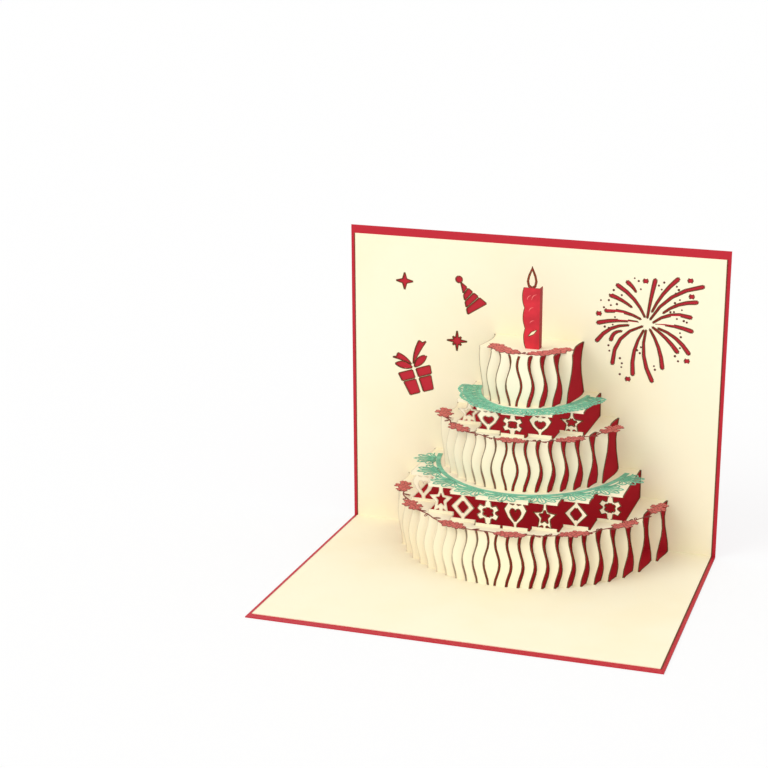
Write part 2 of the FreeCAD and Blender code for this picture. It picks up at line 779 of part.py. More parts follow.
def make_candle():
    """Folded candle: front with a dripping edge and a flame ring, side folded back, foot tab."""
    floor = tiers[-1].head
    step = candle_thickness / math.sin(lean)
    left = candle_left + candle_foot_inset
    edges = [
        line(vec(left, 0), vec(candle_right, 0)),
        line(vec(candle_right, 0), vec(candle_right, candle_height)),
        line(vec(candle_right, candle_height), vec(candle_left, candle_height))]
    for n in range(candle_bulges):
        a, b = [n / candle_bulges, (n + 1) / candle_bulges]
        low = vec(left - candle_foot_inset * a, candle_height * a)
        high = vec(left - candle_foot_inset * b, candle_height * b)
        edges.append(bowed(low, high, candle_bulge))
    middle = (left + candle_right) / 2.0
    hole = turned(lozenge(*candle_slit), middle, candle_slit_rise, candle_slit_tilt)
    ring = flame(flame_width, flame_height)
    eye = flame(flame_width - 2 * flame_stroke, flame_height - 3.2 * flame_stroke)
    eye.translate(vec(0, 1.2 * flame_stroke))
    fire = flat([ring, eye])
    fire.translate(vec((candle_left + candle_right) / 2.0, candle_height - flame_bite))
    side = [
        spot(candle_right, candle_depth, floor),
        spot(candle_right, candle_depth - candle_side, floor),
        spot(candle_right, candle_depth - candle_side, floor + candle_height),
        spot(candle_right, candle_depth, floor + candle_height)]
    tab_back = candle_depth - candle_tab
    tab = polygon([
        (left + 0.8, -candle_depth), (candle_right, -candle_depth),
        (candle_right, -tab_back), (left + 1.6, -tab_back)])
    return joined([
        upright(flat([outline(edges), hole]), candle_depth, candle_thickness, floor),
        upright(fire, candle_depth, candle_thickness, floor),
        Part.Face(Part.makePolygon(side + [side[0]])).extrude(vec(-candle_thickness, 0, 0)),
        level(flat([tab]), floor + step, candle_thickness)])


def main():
    os.makedirs("parts", exist_ok=True)
    nodes = {
        "cover": make_cover(),
        "liner": make_liner(),
        "lower_collar": make_collar(
            tiers[1], tiers[2], tier_3_plan,
            lower_collar_plan, lower_collar_fans, lower_fan_bulge,
            lower_fan_fingers, finger_notch[0], lower_slit),
        "upper_collar": make_collar(
            tiers[3], tiers[4], tier_5_plan,
            upper_collar_plan, upper_collar_fans, upper_fan_bulge,
            upper_fan_fingers, finger_notch[1], upper_slit),
        "lower_garland": make_garland(tiers[0], tiers[1], garland_1_plan, garland_1_flowers),
        "middle_garland": make_garland(tiers[2], tiers[3], garland_3_plan, garland_3_flowers),
        "upper_garland": make_garland(tiers[4], None, garland_5_plan, garland_5_flowers),
        "candle": make_candle()}
    for name, shape in nodes.items():
        box = shape.BoundBox
        print(name, "solids", len(shape.Solids), "valid", shape.isValid(), "volume", round(shape.Volume, 2),
              "box", [round(v, 2) for v in (box.XMin, box.YMin, box.ZMin, box.XMax, box.YMax, box.ZMax)])
        shape.exportStep("parts/" + name + ".step")


main()
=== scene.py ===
import math

import bpy
import numpy as np
from mathutils import Matrix, Vector


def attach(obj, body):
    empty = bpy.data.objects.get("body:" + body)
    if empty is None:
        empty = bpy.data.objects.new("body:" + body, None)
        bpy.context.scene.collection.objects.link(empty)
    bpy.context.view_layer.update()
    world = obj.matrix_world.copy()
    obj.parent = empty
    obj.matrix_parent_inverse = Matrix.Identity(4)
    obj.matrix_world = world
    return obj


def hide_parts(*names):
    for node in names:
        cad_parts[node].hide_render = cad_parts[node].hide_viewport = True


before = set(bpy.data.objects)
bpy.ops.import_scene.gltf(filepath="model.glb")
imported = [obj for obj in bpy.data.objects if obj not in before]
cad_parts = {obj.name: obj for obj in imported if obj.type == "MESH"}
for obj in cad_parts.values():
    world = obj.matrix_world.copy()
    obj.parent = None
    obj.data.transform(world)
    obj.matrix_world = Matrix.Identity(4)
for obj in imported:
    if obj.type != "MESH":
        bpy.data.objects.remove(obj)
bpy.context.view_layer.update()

bl_info = {
    "name": "Pop-up Cake Card",
    "version": (1, 0, 0),
    "blender": (4, 5, 0),
    "location": "3D View > Sidebar > Pop-up Card",
    "description": "Dresses the packed pop-up card in paper, lace, scorched cuts and studio light",
    "category": "Object",
}

BODY = "root"

GOLDEN = 0.618              # step of small differences, so that no two neighbours are alike
SQUARE = 0.998              # a face this square to a panel is paper and not the wall of a cut
WALL_WIDTH = 0.0006         # a face wider than this is never the wall of a cut
WELDS_A_METRE = 2e5         # grid on which the loose corners of a CAD node are welded
PANEL_SKIN = 0.0009         # less deep than this, a place lies on the standing panel
FAR_FROM_PANEL = 1.0        # depth given to the ledges, which are never on the standing panel
SHADE_START = 0.030           # distance left of the middle at which the painted shade on the cake starts to grow
SHADE_SLOPE = 30.0           # growth of the painted shade for each metre to the right
BURN_LEAST = 0.14           # darkening of cuts at the left, lit side of the cake: laser scorch alone, no painted shade
BETWEEN_COLLARS = 0.06      # height between the two collars
CANDLE_FRONT = 0.025        # depth of the candle's front
FLAME_FOOT = 0.1302         # height at which the candle's flame starts

# Small dots between the rays of the firework, as (x, rise) in millimetres
FIREWORK_DUST = (
    (46.6, 133.8), (48.5, 132.6), (49.6, 128.8), (37.1, 127.4), (40.9, 125.3), (31.3, 122.1), (35.0, 122.4),
    (36.0, 120.1), (38.8, 120.8), (32.8, 118.8), (38.1, 114.5), (33.5, 109.5), (35.4, 109.1), (37.2, 110.8),
    (35.5, 100.6), (36.0, 98.0), (41.1, 94.8), (42.1, 92.4), (41.9, 90.5), (41.3, 87.0), (50.7, 101.0),
    (48.9, 99.4), (50.3, 98.1), (57.1, 92.4), (57.6, 90.7), (57.8, 131.2), (59.2, 129.4), (60.2, 132.8),
    (66.0, 131.3), (67.0, 129.8), (65.7, 128.0), (67.7, 125.1), (65.5, 123.5), (65.2, 119.2), (68.8, 120.4),
    (63.6, 119.0), (66.7, 116.0), (69.9, 115.3), (71.3, 114.7), (68.4, 109.4), (68.9, 107.5), (68.7, 102.2),
    (66.6, 98.1), (68.1, 95.8))


# Shader arithmetic

class Term:
    """A value that changes over a surface, with the operators of arithmetic."""

    def __init__(self, graph, socket):
        self.graph = graph
        self.socket = socket

    def math(self, operation, *others):
        return self.graph.add(
            "ShaderNodeMath", {"operation": operation}, dict(enumerate((self, *others))))

    def __add__(self, other):
        return self.math("ADD", other)

    __radd__ = __add__

    def __sub__(self, other):
        return self.math("SUBTRACT", other)

    def __rsub__(self, other):
        return self.graph.add("ShaderNodeMath", {"operation": "SUBTRACT"}, {0: other, 1: self})

    def __mul__(self, other):
        return self.math("MULTIPLY", other)

    __rmul__ = __mul__

    def __truediv__(self, other):
        return self.math("DIVIDE", other)

    def __abs__(self):
        return self.math("ABSOLUTE")

    def over(self, edge):
        """1 where the value is over the edge, else 0."""
        return self.math("GREATER_THAN", edge)

    def larger(self, other):
        return self.math("MAXIMUM", other)

    def between(self, low, high):
        """0 at low, 1 at high, eased in between."""
        return self.graph.add(
            "ShaderNodeMapRange", {"interpolation_type": "SMOOTHSTEP", "clamp": True},
            {"Value": self, "From Min": low, "From Max": high})


class Graph:
    """The shader nodes of one material or of the world, with its main shader."""

    def __init__(self, name, world=False):
        self.material = (bpy.data.worlds if world else bpy.data.materials).new(name)
        self.material.use_nodes = True
        self.nodes = self.material.node_tree.nodes
        self.links = self.material.node_tree.links
        self.shader = self.nodes["Background" if world else "Principled BSDF"]
        self.output = self.nodes["World Output" if world else "Material Output"]

    def feed(self, socket, value):
        """Link a term to a socket, or set the socket to a number or colour."""
        if isinstance(value, Term):
            self.links.new(value.socket, socket)
        elif isinstance(value, (tuple, list)) and len(value) == 3 and len(socket.default_value) == 4:
            socket.default_value = (*value, 1.0)
        else:
            socket.default_value = value

    def add(self, kind, settings=None, inputs=None, out=0):
        """One node: its settings first, then the values or links of its sockets; returns an output."""
        node = self.nodes.new(kind)
        for key, value in (settings or {}).items():
            setattr(node, key, value)
        for key, value in (inputs or {}).items():
            self.feed(node.inputs[key], value)
        return Term(self, node.outputs[out])

    def place(self):
        return self.add("ShaderNodeTexCoord", out="Object")

    def along(self, axis, source="Object"):
        """One of X, Y and Z of the place on the object, or of its UV map."""
        whole = self.add("ShaderNodeTexCoord", out=source)
        return self.add("ShaderNodeSeparateXYZ", {}, {0: whole}, out=axis)

    def seen(self):
        """1 for what the camera sees straight, in gloss or through something clear."""
        path = [self.add("ShaderNodeLightPath", out=f"Is {kind} Ray")
                for kind in ("Camera", "Glossy", "Transmission")]
        return path[0].larger(path[1]).larger(path[2])

    def facing(self, direction):
        """How squarely the surface faces along a direction, from either side."""
        normal = self.add("ShaderNodeTexCoord", out="Normal")
        return abs(self.add(
            "ShaderNodeVectorMath", {"operation": "DOT_PRODUCT"}, {0: normal, 1: direction}, out="Value"))

    def squarely(self):
        """How squarely the surface faces as one of the card's two panels does."""
        lean = bpy.context.scene.card_sizes.opening
        standing, lying = (0.0, math.sin(lean), math.cos(lean)), (0.0, 0.0, 1.0)
        return self.facing(standing).larger(self.facing(lying))

    def noise(self, size, detail=2.0, roughness=0.5):
        """Noise with features of about a size in metres."""
        return self.add(
            "ShaderNodeTexNoise", {}, {
                "Vector": self.place(), "Scale": 1.0 / size, "Detail": detail, "Roughness": roughness})

    def mix(self, amount, first, second):
        """Colour that goes from first to second."""
        return self.add(
            "ShaderNodeMix", {"data_type": "RGBA", "clamp_factor": True},
            {"Factor": amount, 6: first, 7: second}, out=2)

    def bump(self, height, scorch_and_shade, distance):
        return self.add(
            "ShaderNodeBump", {}, {"Height": height, "Strength": scorch_and_shade, "Distance": distance})

    def finish(self, **values):
        """Feed the Principled shader's sockets, named with underscores for spaces."""
        for key, value in values.items():
            self.feed(self.shader.inputs[key.replace("_", " ")], value)
        return self.material

    def finish_paper(self, base, fibre=0.0006, roughness=0.75, swing=0.1, gloss=0.3):
        """Finish a dyed paper with fibres of a size, which change its roughness by the swing."""
        fibres = self.noise(fibre, 5.0, roughness=0.65)
        return self.finish(
            Base_Color=base,
            Roughness=roughness + swing * fibres,
            Normal=self.bump(fibres, 0.2, 0.00005),
            Specular_IOR_Level=gloss)


# Sizes and colours that a user may change

def length(name, description, default):
    return bpy.props.FloatProperty(
        name=name, description=description, default=default, min=0.0, unit="LENGTH", precision=5)


def colour(name, description, default):
    return bpy.props.FloatVectorProperty(
        name=name, description=description, default=default, size=3, min=0.0, max=1.0, subtype="COLOR")


class CardSizes(bpy.types.PropertyGroup):
    """Where the sheet's faces are, and how fine the added paper work is."""

    opening: bpy.props.FloatProperty(
        name="Opening", description="Angle between the two panels", default=math.radians(85.0),
        min=0.1, max=math.pi, subtype="ANGLE")
    fold: length("Fold", "Distance of the fold from the middle of the card", 0.074547)
    cover: length("Cover", "Thickness of the cover", 0.00045)
    sheet: length("Sheet", "Thickness of the cream sheet along the slope", 0.00035134)
    cake_middle: length("Cake middle", "Middle of the cake along the fold", 0.0025)
    scorch: length("Scorch", "Width of the burnt rim along each cut", 0.00058)
    lift: length("Lift", "Height of a drawn line over the paper", 0.00002)
    lace: length("Lace", "Thickness of the lace and flowers", 0.00028)


class CollarSizes(bpy.types.PropertyGroup):
    """The two green lace collars."""

    lower_ledge: length("Lower ledge", "Rise of the ledge under the lower collar", 0.04035134)
    upper_ledge: length("Upper ledge", "Rise of the ledge under the upper collar", 0.07685134)
    fans: bpy.props.IntProperty(
        name="Fans", description="Fans of the lower collar", default=9, min=3, max=30)
    fingers: bpy.props.IntProperty(
        name="Fingers", description="Fingers of one fan", default=5, min=2, max=15)
    scallops: bpy.props.IntProperty(
        name="Scallops", description="Scallops along the upper collar", default=52, min=10, max=120)
    line: length("Line", "Width of a line of the lace", 0.0005)


class GarlandSizes(bpy.types.PropertyGroup):
    """The three flower garlands."""

    vine: length("Vine", "Width of the vines", 0.0006)
    flower: length("Flower", "Radius of the largest flowers", 0.0034)
    petals: bpy.props.IntProperty(
        name="Petals", description="Petals of one flower", default=6, min=3, max=12)


class CardColours(bpy.types.PropertyGroup):
    """Colours of the papers."""

    cream: colour("Cream", "Cream sheet", (1.0, 0.93, 0.70))
    cream_warm: colour("Cream, warm", "Warmer patches of the cream sheet", (0.98, 0.87, 0.58))
    # Burnt also gives the painted shade over the cuts on the cake's right side.
    burnt: colour("Burnt", "Laser-burnt cuts", (0.075, 0.030, 0.010))
    red: colour("Red", "Red cover", (0.51, 0.008, 0.024))
    red_glint: colour("Red glint", "Pearly grain of the cover", (0.64, 0.036, 0.055))
    green: colour("Green", "Lace collars", (0.20, 0.55, 0.37))
    green_dark: colour("Green, dark", "Edges of the lace collars", (0.06, 0.24, 0.15))
    salmon: colour("Salmon", "Flowers", (0.62, 0.12, 0.10))
    salmon_dark: colour("Salmon, dark", "Rims of the flowers and the vines", (0.16, 0.03, 0.022))
    candle: colour("Candle", "Candle", (0.74, 0.032, 0.05))
    candle_line: colour("Candle line", "Strokes drawn on the candle", (0.90, 0.22, 0.20))


# Places on the card

def spot(x, depth, rise):
    """Points in metres from x along the fold, depth in front of the standing panel, and rise up its slope:
    y is the fold less the depth less the rise times the cosine of the opening, z the cover plus the rise
    times its sine."""
    sizes = bpy.context.scene.card_sizes
    x, depth, rise = np.broadcast_arrays(*[np.asarray(v, float) for v in (x, depth, rise)])
    return np.stack([
        x, sizes.fold - depth - rise * math.cos(sizes.opening),
        sizes.cover + rise * math.sin(sizes.opening)], -1)


def depth_at(y, z):
    """Depth in front of the standing panel, for shader terms or arrays: the fold less y, less the height
    over the cover divided by the tangent of the opening."""
    sizes = bpy.context.scene.card_sizes
    return sizes.fold - y - (z - sizes.cover) / math.tan(sizes.opening)


def oval(plan, degrees, out=0.0):
    """Points (x, depth) on an oval plan at directions turned from the front to the right, moved out along
    its normal: x is the middle plus the half width times the sine, depth the half depth times the
    cosine."""
    turn = np.radians(np.asarray(degrees, float))
    normal = np.stack([np.sin(turn) / plan[0], np.cos(turn) / plan[1]], -1)
    normal /= np.linalg.norm(normal, axis=-1, keepdims=True)
    middle = bpy.context.scene.card_sizes.cake_middle
    flat = np.stack([middle + plan[0] * np.sin(turn), plan[1] * np.cos(turn)], -1)
    return flat + normal * np.asarray(out, float)[..., None]


def uneven(count, least):
    """Values from least to 1 for things in a row: least plus the rest times the fraction of the index
    times the golden section."""
    return least + (1.0 - least) * np.modf(np.arange(count) * GOLDEN)[0]


# Surfaces

def surface(name, points, faces, material, uv=None, stands_for=()):
    """A mesh object of points and faces at the origin, riding on the card."""
    mesh = bpy.data.meshes.new(name)
    mesh.from_pydata(points.reshape(-1, 3), [], faces)
    mesh.materials.append(material)
    if uv is not None:
        layer = mesh.uv_layers.new(name="Across")
        corners = np.empty(len(mesh.loops), np.int32)
        mesh.loops.foreach_get("vertex_index", corners)
        layer.data.foreach_set("uv", uv.reshape(-1, 2)[corners].astype(np.float32).ravel())
    mesh.update()
    piece = bpy.data.objects.new(name, mesh)
    bpy.context.scene.collection.objects.link(piece)
    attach(piece, BODY)
    if stands_for:
        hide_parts(*stands_for)
    return piece


def bars(paths, width, rise, thickness):
    """Flat bars lying on a ledge. Each path is a row of (x, depth) points; the bar's edges stand off it to
    both sides by half its width, along the normal of the path, and it is closed to a box section. Bars
    differ a little in thickness, so that no two tops share a plane where they cross.
    Returns points, faces and (along, across) coordinates."""
    along = np.gradient(paths, axis=1)
    along /= np.maximum(np.linalg.norm(along, axis=-1, keepdims=True), 1e-12)
    side = np.stack([-along[..., 1], along[..., 0]], -1) * width / 2.0
    rows, count = paths.shape[:2]
    lift = thickness * uneven(rows, 0.82)[:, None]
    corners = []
    for hand, top in ((1, 1), (-1, 1), (-1, 0), (1, 0)):
        flat = paths + hand * side
        point = spot(flat[..., 0], flat[..., 1], rise)
        point[..., 2] += top * lift
        corners.append(point)
    points = np.stack(corners, 2)
    base = (np.arange(rows)[:, None] * count + np.arange(count - 1)[None, :])[..., None, None] * 4
    ring = np.array([[4, 5, 1, 0], [5, 6, 2, 1], [6, 7, 3, 2], [7, 4, 0, 3]])
    walls = (base + ring).reshape(-1, 4)
    start = np.arange(rows)[:, None] * count * 4
    caps = np.concatenate([start + [0, 1, 2, 3], start + (count - 1) * 4 + [3, 2, 1, 0]])
    share = np.broadcast_to(np.linspace(0, 1, count)[None, :, None], (rows, count, 4))
    across = np.broadcast_to(np.array([0.0, 1.0, 1.0, 0.0]), (rows, count, 4))
    uv = np.stack([share, across], -1)
    return points.reshape(-1, 3), np.concatenate([walls, caps]), uv.reshape(-1, 2)


def joined(parts):
    """One set of points, faces and coordinates from several."""
    points, faces, uv, total = [], [], [], 0
    for p, f, c in parts:
        points.append(p)
        faces.append(f + total)
        uv.append(c)
        total += len(p)
    return np.concatenate(points), np.concatenate(faces), np.concatenate(uv)


def leaf_loops(bases, tips, half_width, bend, count=21):
    """Closed leaf outlines from bases to tips: out along one side and back along the other. The side
    stands off the rib by half_width times the root of the sine of pi t to the power 1.5, t running from
    base to tip, and the rib bows by bend times t times (1 - t)."""
    t = np.concatenate([np.linspace(0, 1, count // 2 + 1), np.linspace(1, 0, count // 2 + 1)[1:]])
    hand = np.concatenate([np.ones(count // 2 + 1), -np.ones(count // 2)])
    way = tips - bases
    normal = np.stack([-way[:, 1], way[:, 0]], -1)
    normal /= np.maximum(np.linalg.norm(normal, axis=-1, keepdims=True), 1e-12)
    rib = bases[:, None] + way[:, None] * t[:, None]
    off = hand * half_width * np.sqrt(np.abs(np.sin(np.pi * t ** 1.5)))
    curl = np.asarray(bend)[:, None] * t * (1 - t)
    return rib + normal[:, None] * (off + curl)[..., None]


def flowers(hubs, radii, turns, petals, rise, thickness):
    """Flowers, closed all round. Their rim is the radius times the gap plus the rest times the size of the
    cosine of half the petal count times the direction, to the power of the fullness. Rings at a share of
    the rim rise from the foot over the edge to the middle, and one face closes the first and the last. U is
    the size of that cosine, 0 in the gap between two petals, and V the share of the way to the rim."""
    steps = petals * 8
    theta = np.linspace(0, 2 * np.pi, steps, endpoint=False)
    petal = np.abs(np.cos(petals * theta / 2.0))
    gap, fullness = 0.55, 0.7
    rim = gap + (1.0 - gap) * petal ** fullness
    shares = np.array([1.0, 1.0, 0.82, 0.34, 0.24, 0.04])
    heights = np.array([0.0, 0.85, 1.0, 0.9, 1.0, 1.0]) * thickness
    angle = theta[None, :] + np.radians(turns)[:, None]
    reach = radii[:, None, None] * shares[None, :, None] * rim[None, None, :]
    flat = hubs[:, None, None, :] + reach[..., None] * np.stack(
        [np.cos(angle), np.sin(angle)], -1)[:, None]
    points = spot(flat[..., 0], flat[..., 1], rise)
    points[..., 2] += heights[None, :, None] * uneven(len(hubs), 0.88)[:, None, None]
    rings = len(shares)
    ring, step = np.meshgrid(np.arange(rings - 1), np.arange(steps), indexing="ij")
    after = (step + 1) % steps
    quad = np.stack([ring * steps + step, (ring + 1) * steps + step,
                     (ring + 1) * steps + after, ring * steps + after], -1).reshape(-1, 4)
    start = np.arange(len(hubs))[:, None, None] * rings * steps
    faces = (quad[None] + start).reshape(-1, 4).tolist()
    foot = start.reshape(-1, 1) + np.arange(steps)
    faces += foot.tolist() + (foot[:, ::-1] + (rings - 1) * steps).tolist()
    across = np.broadcast_to(shares[None, :, None], (len(hubs), rings, steps))
    around = np.broadcast_to(petal[None, None, :], across.shape)
    return points.reshape(-1, 3), faces, np.stack([around, across], -1).reshape(-1, 2)


def cut_rims(node, reach, lift):
    """Narrow quads on the paper along every cut of a CAD node. A cut is a mesh edge between a paper face
    and a face of a wall; the quad runs along it and reaches inwards, lifted off the paper. A face is paper
    where it is square to a panel or wider than a wall, its width being twice its area over its longest
    edge. U is how dark the cut is drawn: laser scorch, and on the cake also painted shade growing to the
    right. V runs from 0 at the cut to 1 at the inner side."""
    sizes = bpy.context.scene.card_sizes
    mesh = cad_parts[node].data
    mesh.calc_loop_triangles()
    count = len(mesh.loop_triangles)
    corners = np.empty(count * 3, np.int32)
    mesh.loop_triangles.foreach_get("vertices", corners)
    places = np.empty(len(mesh.vertices) * 3, np.float32)
    mesh.vertices.foreach_get("co", places)
    places = places.reshape(-1, 3).astype(float)
    grid = np.round(places * WELDS_A_METRE).astype(np.int64)
    _, first, weld = np.unique(grid, axis=0, return_index=True, return_inverse=True)
    triangle = weld.ravel()[corners].reshape(-1, 3)
    points = places[first]
    a, b, c = (points[triangle[:, n]] for n in range(3))
    normal = np.cross(b - a, c - a)
    normal /= np.maximum(np.linalg.norm(normal, axis=1, keepdims=True), 1e-15)
    upright = np.abs(normal @ np.array([0.0, math.sin(sizes.opening), math.cos(sizes.opening)]))
    edge = np.linalg.norm(np.stack([b - a, c - b, a - c]), axis=-1)
    width = np.linalg.norm(np.cross(b - a, c - a), axis=1) / np.maximum(edge.max(axis=0), 1e-9)
    paper = (np.maximum(upright, np.abs(normal[:, 2])) > SQUARE) | (width > WALL_WIDTH)
    sides = np.stack([triangle, np.roll(triangle, -1, axis=1)], -1).reshape(-1, 2)
    owner = np.repeat(np.arange(count), 3)
    ends = np.sort(sides, axis=1)
    code = ends[:, 0].astype(np.int64) * len(points) + ends[:, 1]
    order = np.argsort(code, kind="stable")
    same = code[order][:-1] == code[order][1:]
    one, two = order[:-1][same], order[1:][same]
    cut = np.concatenate([
        one[paper[owner[one]] & ~paper[owner[two]]], two[paper[owner[two]] & ~paper[owner[one]]]])
    start, end, up = points[sides[cut, 0]], points[sides[cut, 1]], normal[owner[cut]]
    inward = np.cross(up, end - start)
    inward /= np.maximum(np.linalg.norm(inward, axis=1, keepdims=True), 1e-15)
    start, end = start + up * lift, end + up * lift
    quads = np.stack([start, end, end + inward * reach, start + inward * reach], 1)
    faces = np.arange(len(cut) * 4).reshape(-1, 4)
    stands = upright[owner[cut]][:, None] > SQUARE
    depth = np.where(stands, depth_at(quads[..., 1], quads[..., 2]), FAR_FROM_PANEL)
    # Liner rims: scorch, plus painted shade growing to the cake's right; candle rims: scorch alone.
    scorch_and_shade = burn_and_shade_share(quads[..., 0], depth) if node == "liner" else np.ones(quads.shape[:2])
    uv = np.stack([scorch_and_shade, np.broadcast_to(np.array([0.0, 0.0, 1.0, 1.0]), scorch_and_shade.shape)], -1)
    return quads.reshape(-1, 3), faces, uv.reshape(-1, 2)


# Materials

def burn_and_shade_share(x, depth):
    """How dark a cut is drawn, for shader terms or arrays: fully on the standing panel, where it is laser
    scorch, and on the cake rising from a seventh at its left to all of it at its right, in a straight
    slope.
    The seventh is scorch; the rise is painted shade on the side of the cake turned from the light."""
    slope = (x + SHADE_START) * SHADE_SLOPE
    if isinstance(x, Term):
        slope = slope.larger(BURN_LEAST).math("MINIMUM", 1.0)
        return slope.larger(1.0 - depth.over(PANEL_SKIN))
    return np.where(depth < PANEL_SKIN, 1.0, np.clip(slope, BURN_LEAST, 1.0))


def cream_paper():
    """Uncoated cream paper: fine fibres, faint warm patches, burnt walls at the cuts, and painted shade
    darkening those walls on the cake's right side.
    """
    colours = bpy.context.scene.card_colours
    graph = Graph("cream_paper")
    wall = 1.0 - graph.squarely().over(SQUARE)
    depth = depth_at(graph.along("Y"), graph.along("Z"))
    patches = graph.noise(0.05, 3.0).between(0.35, 0.75)
    fibres = graph.noise(0.0007, 6.0, roughness=0.65)
    flecks = graph.noise(0.0016, 2.0).between(0.62, 0.75)
    base = graph.mix(patches * 0.45 + flecks * 0.10, tuple(colours.cream), tuple(colours.cream_warm))
    # Painted shade: beyond their scorch, cut walls darken toward the cake's right side, turned from the
    # light.
    darkening = wall * burn_and_shade_share(graph.along("X"), depth) * (0.86 + 0.14 * graph.noise(0.002, 2.0))
    return graph.finish(
        Base_Color=graph.mix(darkening, base, tuple(colours.burnt)),
        Roughness=0.72 + 0.12 * fibres,
        Normal=graph.bump(fibres, 0.18, 0.00006),
        Specular_IOR_Level=0.3)


def red_card():
    """Pearly red card: a deep red with a fine glinting grain and darker cut walls."""
    colours = bpy.context.scene.card_colours
    graph = Graph("red_card")
    wall = 1.0 - graph.squarely().over(0.99)
    grain = graph.noise(0.00045, 3.0, roughness=0.7)
    cloud = graph.noise(0.03, 3.0)
    glint = graph.add(
        "ShaderNodeTexVoronoi", {"feature": "F1"},
        {"Vector": graph.place(), "Scale": 2600.0}, out="Distance")
    sparkle = (1.0 - glint.between(0.05, 0.34)) * grain.between(0.45, 0.7)
    glow = 0.22 * cloud + 0.20 * grain + 0.30 * sparkle
    base = graph.mix(glow, tuple(colours.red), tuple(colours.red_glint))
    dark = tuple(c * 0.35 for c in colours.red)
    return graph.finish(
        Base_Color=graph.mix(wall * 0.8, base, dark),
        Metallic=0.10 + 0.25 * sparkle,
        Roughness=0.50 - 0.12 * sparkle + 0.1 * grain,
        Normal=graph.bump(grain, 0.22, 0.00006),
        Specular_IOR_Level=0.28,
        Coat_Weight=0.05,
        Coat_Roughness=0.35)


def scorch():
    """Laser smoke beside a cut: dark at the cut and fading out across the rim, as strong as U says; on the
    cake U also holds painted shade.
    """
    colours = bpy.context.scene.card_colours
    graph = Graph("scorch")
    across, scorch_and_shade = graph.along("Y", "UV"), graph.along("X", "UV")
    patchy = 0.75 + 0.5 * graph.noise(0.0018, 3.0)
    fade = (1.0 - across.between(0.35, 1.0)) * patchy * scorch_and_shade
    return graph.finish(
        Base_Color=graph.mix(across, tuple(colours.burnt), (0.30, 0.14, 0.04)),
        Roughness=0.9,
        Alpha=fade.math("MINIMUM", 0.92),
        Specular_IOR_Level=0.1)


def coloured_paper(name, body, rim, low, high):
    """Dyed paper that turns to its rim colour as V goes from low to high."""
    graph = Graph(name)
    edge = graph.along("Y", "UV").between(low, high)
    amount = edge * 0.75 + 0.25 * graph.noise(0.004)
    return graph.finish_paper(graph.mix(amount, body, rim))


def petal_paper():
    """Salmon paper of the flowers, with burnt lines round the petals, between them and round the eye."""
    colours = bpy.context.scene.card_colours
    graph = Graph("salmon_lace")
    near, reach = graph.along("X", "UV"), graph.along("Y", "UV")
    gap = (1.0 - near.between(0.15, 0.55)) * reach.between(0.25, 0.4)
    eye = reach.between(0.18, 0.27) * (1.0 - reach.between(0.27, 0.38))
    darkening = reach.between(0.84, 1.0).larger(gap).larger(eye)
    body = graph.mix(graph.noise(0.003, 2.0), tuple(colours.salmon), (0.74, 0.20, 0.17))
    return graph.finish_paper(graph.mix(0.85 * darkening, body, tuple(colours.salmon_dark)))


def lace_paper():
    """Green lace paper: the top is mid green, walls are dark, and the lower collar is a little deeper."""
    colours = bpy.context.scene.card_colours
    graph = Graph("green_lace")
    top = graph.facing((0.0, 0.0, 1.0)).between(0.6, 0.9)
    tone = graph.noise(0.003, 2.0).between(0.3, 0.75)
    light = tuple(min(1.0, c * 1.35 + 0.03) for c in colours.green)
    body = graph.mix(tone, tuple(colours.green), light)
    lower = 1.0 - graph.along("Z").over(BETWEEN_COLLARS)
    depth = (0.45 * (1.0 - top)).larger(0.16 * lower)
    return graph.finish_paper(
        graph.mix(depth, body, tuple(colours.green_dark)), fibre=0.0005, roughness=0.7, swing=0.12)


def candle_paper():
    """Bright red paper of the candle, with painted shade darkening its folded-back side, which is turned
    from the light, and scorched at the flame.
    """
    colours = bpy.context.scene.card_colours
    graph = Graph("candle_red")
    tone = graph.noise(0.006, 3.0)
    # Painted shade: the side facing along x is turned from the light and drawn in a darker red.
    side = graph.facing((1.0, 0.0, 0.0)).over(0.7)
    deep = tuple(c * 0.72 for c in colours.candle)
    front = graph.mix(tone.between(0.3, 0.8), tuple(colours.candle), deep)
    flame = graph.along("Z").over(FLAME_FOOT)
    front = graph.mix(0.62 * flame, front, tuple(colours.burnt))
    # Colour of the painted shade on the side.
    folded = tuple(c * 0.45 for c in colours.candle)
    return graph.finish_paper(graph.mix(side, front, folded), roughness=0.62, swing=0.12, gloss=0.25)


def dress(node, material):
    """Give a CAD node a material."""
    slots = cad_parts[node].data.materials
    if len(slots) == 0:
        slots.append(material)
    for n in range(len(slots)):
        slots[n] = material


class CARD_OT_papers(bpy.types.Operator):
    """Give the cover, the cream sheet and the candle their papers"""

    bl_idname = "card.papers"
    bl_label = "Papers"

    def execute(self, context):
        dress("cover", red_card())
        dress("liner", cream_paper())
        dress("candle", candle_paper())
        return {"FINISHED"}


class CARD_OT_scorch(bpy.types.Operator):
    """Draw the burnt rims along the cuts of the cream sheet and the candle; those on the cake's right side
    also carry painted shade
    """

    bl_idname = "card.scorch"
    bl_label = "Scorched cuts"

    def execute(self, context):
        sizes = context.scene.card_sizes
        smoke = scorch()
        for node, reach in (("liner", sizes.scorch), ("candle", sizes.scorch * 0.8)):
            points, faces, uv = cut_rims(node, reach, sizes.lift)
            surface(node + "_scorch", points, faces, smoke, uv)
        return {"FINISHED"}


